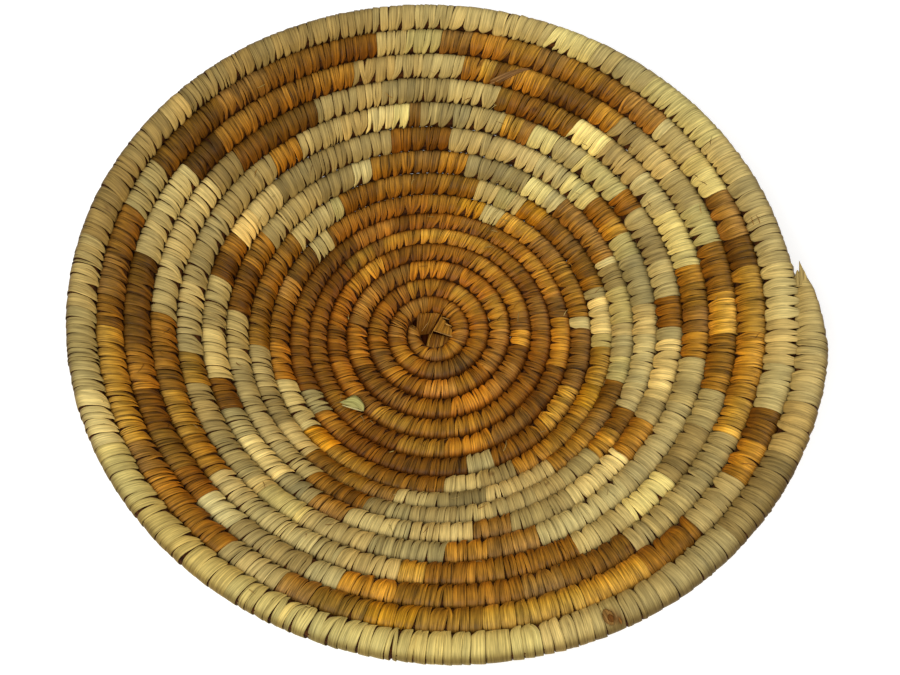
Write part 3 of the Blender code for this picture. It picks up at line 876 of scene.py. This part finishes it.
def strip_faces(count):
    """Faces of closed strips, with both ends closed."""
    long, wide = STRIP_STEPS, len(STRIP_ACROSS)
    strip, row, column = np.meshgrid(np.arange(count), np.arange(long - 1), np.arange(wide), indexing="ij")
    after = (column + 1) % wide

    def index(at_row, at_column):
        return ((strip * long + at_row) * wide + at_column).ravel()

    faces = np.stack((index(row, column), index(row, after), index(row + 1, after), index(row + 1, column)),
                     -1).tolist()
    for first in range(0, count * long * wide, long * wide):
        last = first + (long - 1) * wide
        faces += [list(range(first, first + wide))[::-1], list(range(last, last + wide))]
    return faces


def loose_strips(name, strips, material, node=None):
    """One piece from strips: each has its course, half widths, colour, thickness, and dirt and painted shade
    at both ends.
    """
    marks = {"strand_colour": [], "strand_mm": [], "groove": []}
    points = []
    for place, (course, half_widths, colour, thickness, dirt_and_shade) in enumerate(strips):
        strip, strand = strip_points(course, half_widths, thickness)
        points.append(strip)
        marks["strand_mm"].append(strand + STRIPS_APART * place)
        marks["strand_colour"].append(np.broadcast_to(colour, strip.shape))
        marks["groove"].append(np.broadcast_to(np.linspace(*dirt_and_shade, STRIP_STEPS)[:, None], strip.shape[:2]))
    marks = {label: np.array(values) for label, values in marks.items()}
    marks["band_edge"] = 0 * marks["groove"]
    piece = body_mesh(name, np.array(points), strip_faces(len(strips)), marks, material)
    if node:
        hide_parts(node)


UPWARDS = (0.0, 0.0, 1.0)
# Near-black browns that paint the shade in the eye's hollow and in the slit beside the folded end
HOLLOW_SHADE_BROWN = linear("#2a0f04")
SLIT_SHADE_BROWN = linear("#2c0f04")
BRIGHT_FOLD = linear("#b98a48")
BRIGHT_END = linear("#c8964a")
BRIGHT_FIBRE = linear("#b8935a")


def eye_folds(leaf):
    """The eye of the spiral: a dark hollow, leaf ends that run down into it, and one that is folded over.

    Places and widths are in mm, and each strip's dirt and painted shade goes from its start to its end.
    """
    strips = []
    hues = ("rust", "amber", "rust", "amber", "russet", "golden", "rust", "drab", "amber", "rust", "golden")

    def lay(start, end, half_widths, colour, dirt_and_shade, thickness=0.35, sag=0.0):
        first, last = np.array(start) * MM, np.array(end) * MM
        middle = (first + last) / 2 - np.array((0, 0, sag)) * MM
        strips.append(([(place, UPWARDS) for place in (first, middle, last)], np.array(half_widths) * MM,
                       colour, thickness * MM, dirt_and_shade))

    # The hollow: a dark sheet that paints the shade down in the eye
    for share in np.linspace(0, 1, 10):
        lay((-12.4 + 18.0 * share, 13.2 - 3.0 * share, 1.2), (-11.6 + 15.4 * share, -3.4, 1.2), (1.25, 1.25),
            HOLLOW_SHADE_BROWN, (0.9, 0.9))
    # The leaf that runs down into it from the far side, painted darker towards the hollow, and a near-black
    # strip at its right that paints the shade in the slit
    for place, share in enumerate(np.linspace(0, 1, 10)):
        lay((-8.2 + 8.6 * share, 11.4 - 0.2 * share, 4.9 - 0.2 * (place % 3)),
            (-9.2 + 5.3 * share, 3.4 + 0.1 * share, 2.6 + 1.3 * share), (0.52, 0.48, 0.34),
            LEAF_COLOURS[hues[place]] * (0.85 + 0.3 * share), (0.0, 1.0), thickness=0.1, sag=0.3)
    lay((1.3, 12.6, 6.0), (-4.1, 2.9, 4.5), (0.16, 0.34, 0.24), SLIT_SHADE_BROWN, (0.6, 0.6), 0.3)
    # The leaf that comes up out of it towards the front, with painted shade at its start under the folded end
    for place, share in enumerate(np.linspace(0, 1, 9)):
        step = 0.1 * (place % 2)
        lay((-3.9 + 6.9 * share, 3.6 - 1.8 * share, 3.9 + step), (-5.6 + 7.6 * share, -2.2, 2.7 + step),
            (0.6, 0.64, 0.56), LEAF_COLOURS[hues[-1 - place]] * 0.95, (0.85, 0.05), thickness=0.1, sag=-0.1)
    # The end that is folded over at the right, with its bright crease and frayed corners
    for place, share in enumerate(np.linspace(0, 1, 9)):
        lay((-3.0 + 6.2 * share, 4.0 - 2.5 * share, 4.9),
            (0.3 + 3.0 * share, 9.4 - 4.8 * share, 5.3 - 0.4 * share), (0.6, 0.66, 0.6),
            LEAF_COLOURS[hues[place]] * 0.4 + LEAF_COLOURS["golden"] * 0.5, (0.0, 0.3),
            thickness=0.07 + 0.02 * (place % 3))
    lay((-3.2, 4.1, 5.3), (3.8, 1.3, 5.1), (0.08, 0.2, 0.3), BRIGHT_FOLD, (0.0, 0.0), 0.3)
    lay((0.6, 8.8, 5.8), (2.9, 8.0, 5.5), (0.12, 0.2, 0.08), BRIGHT_END, (0.0, 0.3))
    lay((1.4, 6.4, 5.6), (3.6, 5.3, 5.4), (0.1, 0.22, 0.08), BRIGHT_END, (0.0, 0.3))
    lay((-4.9, 7.4, 4.9), (-7.3, 4.5, 3.9), (0.07, 0.1, 0.06), BRIGHT_FIBRE, (0.0, 0.4), 0.15)
    lay((-3.1, 4.2, 5.1), (-5.3, -0.6, 4.6), (0.1, 0.16, 0.1), LEAF_COLOURS["golden"], (0.0, 0.3), 0.15)
    loose_strips("eye_folds", strips, leaf["dyed"], "start_knot")


# The blade at the tail and the two splits beside it, in mm: how far out each starts, how far ahead its places
# lie, and its half widths there
SPIKE_BLADES = ((0.35, (-3.0, 0.5, 3.0, 5.8), (1.5, 1.4, 0.75, 0.06)),
                (-0.95, (-3.0, 0.2, 1.5, 2.7), (1.2, 1.2, 0.9, 0.25)),
                (1.1, (-3.0, -0.5, 0.6, 1.8), (0.9, 0.8, 0.5, 0.1)))
SPIKE_CURVE = 0.05
SPIKE_CURVE_POWER = 1.2
SPIKE_ROOT_DEGREES = 80
SPIKE_THICKNESS = 0.4 * MM


def tail_spike(leaf):
    """The last strand's end, which stands out of the tail as a thin pointed blade, and splits beside it."""
    tail_end = 360 * (LAST_STITCH - 15) + 180
    root, _ = on_coil(15, tail_end, SPIKE_ROOT_DEGREES, 0.1 * MM)
    blades = []
    for stands_out, lengths, half_widths in SPIKE_BLADES:
        course = []
        for length in lengths:
            angle = math.radians(tail_end) + length * MM / centre_radius(FULL_TURNS)
            ahead = np.array((-math.sin(angle), math.cos(angle), 0.1))
            out = np.array((math.cos(angle), math.sin(angle), 0.3))
            bent = stands_out - SPIKE_CURVE * max(length, 0) ** SPIKE_CURVE_POWER
            course.append((root + ahead * length * MM + out * bent * MM, (0.2, 0.0, 1.0)))
        blades.append((course, np.array(half_widths) * MM, LEAF_COLOURS["olive"], SPIKE_THICKNESS,
                       (0.15, 0.0)))
    loose_strips("tail_spike", blades, leaf["natural"], "tail_tip")


# The chip's strips: places and half widths in mm, colour, thickness in mm, and dirt and painted shade at
# both ends
CHIP_FACE = (0.05, -0.05, 1.0)
CHIP_STRIPS = {
    "body": (((-36.9, -23.1, 7.2), (-34.6, -23.3, 7.6), (-32.3, -23.0, 7.8), (-30.7, -24.2, 7.9),
              (-29.1, -25.3, 7.7), (-28.7, -27.0, 7.4)),
             (0.2, 1.2, 2.7, 2.0, 1.3, 0.15), "#b1a963", 0.25, (0.0, 0.0)),
    "curled edge": (((-36.2, -24.3, 7.5), (-33.6, -25.4, 7.9), (-31.2, -26.2, 8.0), (-29.0, -27.0, 7.8)),
                    (0.15, 0.3, 0.35, 0.15), "#c9bf80", 0.25, (0.0, 0.0)),
    "vein": (((-35.4, -23.0, 7.7), (-33.0, -23.4, 8.1), (-31.2, -24.6, 8.1), (-29.4, -26.2, 7.9)),
             (0.06, 0.12, 0.1, 0.05), "#8f8a4c", 0.15, (0.0, 0.0)),
    "stalk": (((-40.4, -25.0, 6.9), (-39.3, -23.9, 7.2), (-38.2, -23.2, 7.3), (-36.6, -23.0, 7.3)),
              (0.08, 0.14, 0.2, 0.3), "#7d5a28", 0.25, (0.2, 0.1)),
}


def leaf_chip(leaf):
    """A chip of pale leaf that was left lying on the turns, with its thin stalk."""
    strips = [([(np.array(place) * MM, CHIP_FACE) for place in places], np.array(half_widths) * MM,
               linear(colour), thickness * MM, dirt_and_shade)
              for places, half_widths, colour, thickness, dirt_and_shade in CHIP_STRIPS.values()]
    loose_strips("leaf_chip", strips, leaf["natural"])


# The crossing strand's way over ring 13: degrees, place round the section, height in mm, share of its width
CROSSING_COURSE = ((75.4, 178, 0.3, 1.0), (74.5, 158, 0.4, 1.3), (72.9, 128, 0.45, 1.1), (71.1, 98, 0.5, 0.9),
                   (69.2, 68, 0.5, 0.7), (67.6, 42, 0.4, 0.5), (66.6, 22, 0.1, 0.3))
# How far its outermost fibres lie to either side, in degrees along the coil and round its section
CROSSING_HALF_SPREAD = (0.35, 9)
CROSSING_HALF_WIDTHS = np.array((0.3, 0.36, 0.34, 0.28, 0.15)) * MM
CROSSING_BROWNS = ("#8e6536", "#7d5529", "#98703e")


def crossing_strand(leaf):
    """A frayed brown strand that crosses the top of ring 13 on the slant, and slips under the next stitch."""
    strips = []
    for place, aside in enumerate((-1.0, -0.6, -0.2, 0.2, 0.6, 1.0)):
        course = [on_coil(13, degrees + CROSSING_HALF_SPREAD[0] * width * aside,
                          around - CROSSING_HALF_SPREAD[1] * width * aside, height * MM)
                  for degrees, around, height, width in CROSSING_COURSE]
        brown = linear(CROSSING_BROWNS[place % 3])
        strips.append((course, CROSSING_HALF_WIDTHS, brown, 0.2 * MM, (0.1, 0.1)))
    loose_strips("crossing_strand", strips, leaf["dyed"])


# The film, the bead and the crumb of gum on ring 15: degrees, places round the section, height and half
# widths in mm, colour
GUM_LAYERS = ((293.7, (93, 78, 62, 47, 33), 0.42, (0.5, 1.5, 1.8, 1.5, 0.4), "#9c7238"),
              (293.9, (70, 64, 56, 48, 42), 0.52, (0.3, 0.8, 1.0, 0.7, 0.2), "#6a4012"),
              (294.9, (50, 42, 34, 28, 22), 0.4, (0.1, 0.35, 0.5, 0.4, 0.1), "#7d5220"))


def gum_drop(leaf):
    """Gum that dried on the rim: a thin brown film over one stitch, a darker bead in it, and a crumb."""
    strips = [([on_coil(15, degrees, around, height * MM) for around in arounds], np.array(half_widths) * MM,
               linear(colour), 0.1 * MM, (0.1, 0.1))
              for degrees, arounds, height, half_widths, colour in GUM_LAYERS]
    loose_strips("gum_drop", strips, leaf["dyed"])


# Loose fibres of each finish: their colours, and how many there are
FRAYED = {
    "natural": (("straw", "yellow", "olive"), 55),
    "dyed": (("golden", "rust", "drab"), 70),
}
# They lie up to this turn, half of them in the groove and half on top, by degrees round the coil's section
FRAYED_UP_TO = 15.2
FRAYED_IN_GROOVE = (140, 12)
FRAYED_ON_TOP = (60, 130)
FRAYED_SLANT_SPREAD = 28
# Their lengths, heights over the coil and half widths in mm. The loose end stands highest
FRAYED_LENGTH = (1.0, 3.6)
FRAYED_HEIGHTS = (0.05, 0.3, 0.45)
FRAYED_END_HEIGHT = (0.3, 1.1)
FRAYED_HALF_WIDTHS = np.array((0.1, 0.12, 0.09, 0.03))
FRAYED_WIDTH_CHANCE = (0.6, 1.2)
FRAYED_TONE_CHANCE = (0.6, 1.1)
FRAYED_THICKNESS = 0.12 * MM


def frayed_fibres(leaf):
    """Loose fibres that split off the strands in the work, most of them caught in the grooves."""
    chance = np.random.default_rng(SEED + 1)
    for finish, (colours, count) in FRAYED.items():
        strips = []
        for _ in range(count):
            turn = FRAYED_UP_TO * math.sqrt(chance.uniform(0.01, 1))
            ring, degrees = math.floor(turn + 0.5), 360 * ((turn + 0.5) % 1)
            around = chance.choice((chance.normal(*FRAYED_IN_GROOVE), chance.uniform(*FRAYED_ON_TOP)))
            turned = math.degrees(chance.uniform(*FRAYED_LENGTH) * MM / centre_radius(turn))
            slant = chance.normal(0, FRAYED_SLANT_SPREAD)
            heights = np.array((*FRAYED_HEIGHTS, chance.uniform(*FRAYED_END_HEIGHT))) * MM
            course = [on_coil(ring, degrees + turned * share, around + slant * share ** 1.5, height)
                      for share, height in zip((0, 0.35, 0.7, 1), heights)]
            half_widths = FRAYED_HALF_WIDTHS * chance.uniform(*FRAYED_WIDTH_CHANCE) * MM
            colour = LEAF_COLOURS[chance.choice(colours)] * chance.uniform(*FRAYED_TONE_CHANCE)
            strips.append((course, half_widths, colour, FRAYED_THICKNESS, (0.2, 0.0)))
        loose_strips(f"frayed_fibres_{finish}", strips, leaf[finish])


def seen_directly(tree):
    """One for rays from the camera, a gloss or a clear body, and none for those that only bring light."""
    rays = add(tree, "ShaderNodeLightPath").outputs
    seen = rays["Is Camera Ray"]
    for ray in ("Is Glossy Ray", "Is Transmission Ray"):
        seen = add(tree, "ShaderNodeMath", {0: seen, 1: rays[ray]}, operation="MAXIMUM").outputs[0]
    return seen


# The floor is white paper. It shows white where the lamps light it fully, and also far out, where they fade
FLOOR_HALF_SIDE = 3.0
FLOOR_BELOW = 0.5 * MM
FLOOR_WHITE = 0.8
FLOOR_ROUGHNESS = 0.9
FLOOR_GLOW = 0.46
LAMPS_FADE_FROM = 0.5
LAMPS_FADED_AT = 1.3


def pale_floor():
    """A plain pale table that keeps the bowl's soft shadow."""
    mesh = bpy.data.meshes.new("floor")
    corners = [(FLOOR_HALF_SIDE * x, FLOOR_HALF_SIDE * y, 0) for x, y in ((-1, -1), (1, -1), (1, 1), (-1, 1))]
    mesh.from_pydata(corners, [], [(0, 1, 2, 3)])
    floor = bpy.data.objects.new("floor", mesh)
    floor.location.z = -FLOOR_BELOW
    bpy.context.scene.collection.objects.link(floor)
    material = bpy.data.materials.new("white_paper")
    material.use_nodes = True
    tree = material.node_tree
    shader = tree.nodes["Principled BSDF"]
    shader.inputs["Base Color"].default_value = (FLOOR_WHITE, FLOOR_WHITE, FLOOR_WHITE, 1)
    shader.inputs["Roughness"].default_value = FLOOR_ROUGHNESS
    place = add(tree, "ShaderNodeTexCoord").outputs["Object"]
    away = add(tree, "ShaderNodeVectorMath", {0: place}, operation="LENGTH").outputs["Value"]
    needed = add(tree, "ShaderNodeMapRange", {"Value": away, "From Min": LAMPS_FADE_FROM,
                                              "From Max": LAMPS_FADED_AT, "To Min": FLOOR_GLOW})
    glow = add(tree, "ShaderNodeMath", {0: seen_directly(tree), 1: needed.outputs[0]}, operation="MULTIPLY")
    shader.inputs["Emission Color"].default_value = (1, 1, 1, 1)
    tree.links.new(glow.outputs[0], shader.inputs["Emission Strength"])
    mesh.materials.append(material)


# Each lamp's place and side in metres, and its power in watts
LAMPS = {
    "key": ((-0.38, -0.55, 1.0), 0.8, 11.5),
    "back_fill": ((0.85, 0.3, 0.85), 0.7, 5.4),
}
ROOM_LIGHT = 0.22


def lights():
    """A large soft lamp over the front left, a weaker one at the back right, and a white room."""
    world = bpy.data.worlds.new("studio")
    world.use_nodes = True
    bpy.context.scene.world = world
    tree = world.node_tree
    background = tree.nodes["Background"]
    background.inputs["Color"].default_value = (1, 1, 1, 1)
    strength = add(tree, "ShaderNodeMapRange", {"Value": seen_directly(tree), "To Min": ROOM_LIGHT})
    tree.links.new(strength.outputs[0], background.inputs["Strength"])
    for name, (place, side, power) in LAMPS.items():
        lamp = bpy.data.lights.new(name, "AREA")
        lamp.size, lamp.energy = side, power
        holder = bpy.data.objects.new(name, lamp)
        holder.location = place
        aim = -np.array(place) / np.linalg.norm(place)
        holder.rotation_euler = (math.acos(-aim[2]), 0, math.atan2(aim[1], aim[0]) - math.pi / 2)
        bpy.context.scene.collection.objects.link(holder)


def camera():
    """Looks into the bowl from the front and above, as the photograph does."""
    data = bpy.data.cameras.new("camera")
    data.sensor_width = SENSOR_WIDTH
    data.lens = SENSOR_WIDTH * FOCAL_PIXELS / PHOTO_WIDTH_PIXELS
    holder = bpy.data.objects.new("camera", data)
    turned = Matrix.Rotation(CAMERA_TILT, 4, "X") @ Matrix.Rotation(CAMERA_ROLL, 4, "Z")
    holder.matrix_world = Matrix.Translation(CAMERA_PLACE) @ turned
    bpy.context.scene.collection.objects.link(holder)
    bpy.context.scene.camera = holder


# Natural leaf is even and dull. Boiling in dye opens its fibres, so dyed leaf is more streaked and blotched
# Each dirt colour darkens the grooves with dirt and with painted shade
LEAF = {
    "natural": palm_leaf("split_palm_leaf_natural", roughness=0.48, fibre_contrast=0.56,
                         blotch_contrast=0.14, dirt_and_shade_colour="#4a3314"),
    "dyed": palm_leaf("split_palm_leaf_dyed", roughness=0.45, fibre_contrast=0.9,
                      blotch_contrast=0.3, dirt_and_shade_colour="#3a1804"),
}
dress_sleeves(LEAF)
grass_bundle(grass_stalks())
eye_folds(LEAF)
tail_spike(LEAF)
leaf_chip(LEAF)
crossing_strand(LEAF)
gum_drop(LEAF)
frayed_fibres(LEAF)
pale_floor()
lights()
camera()
bpy.context.scene.view_settings.view_transform = "Standard"
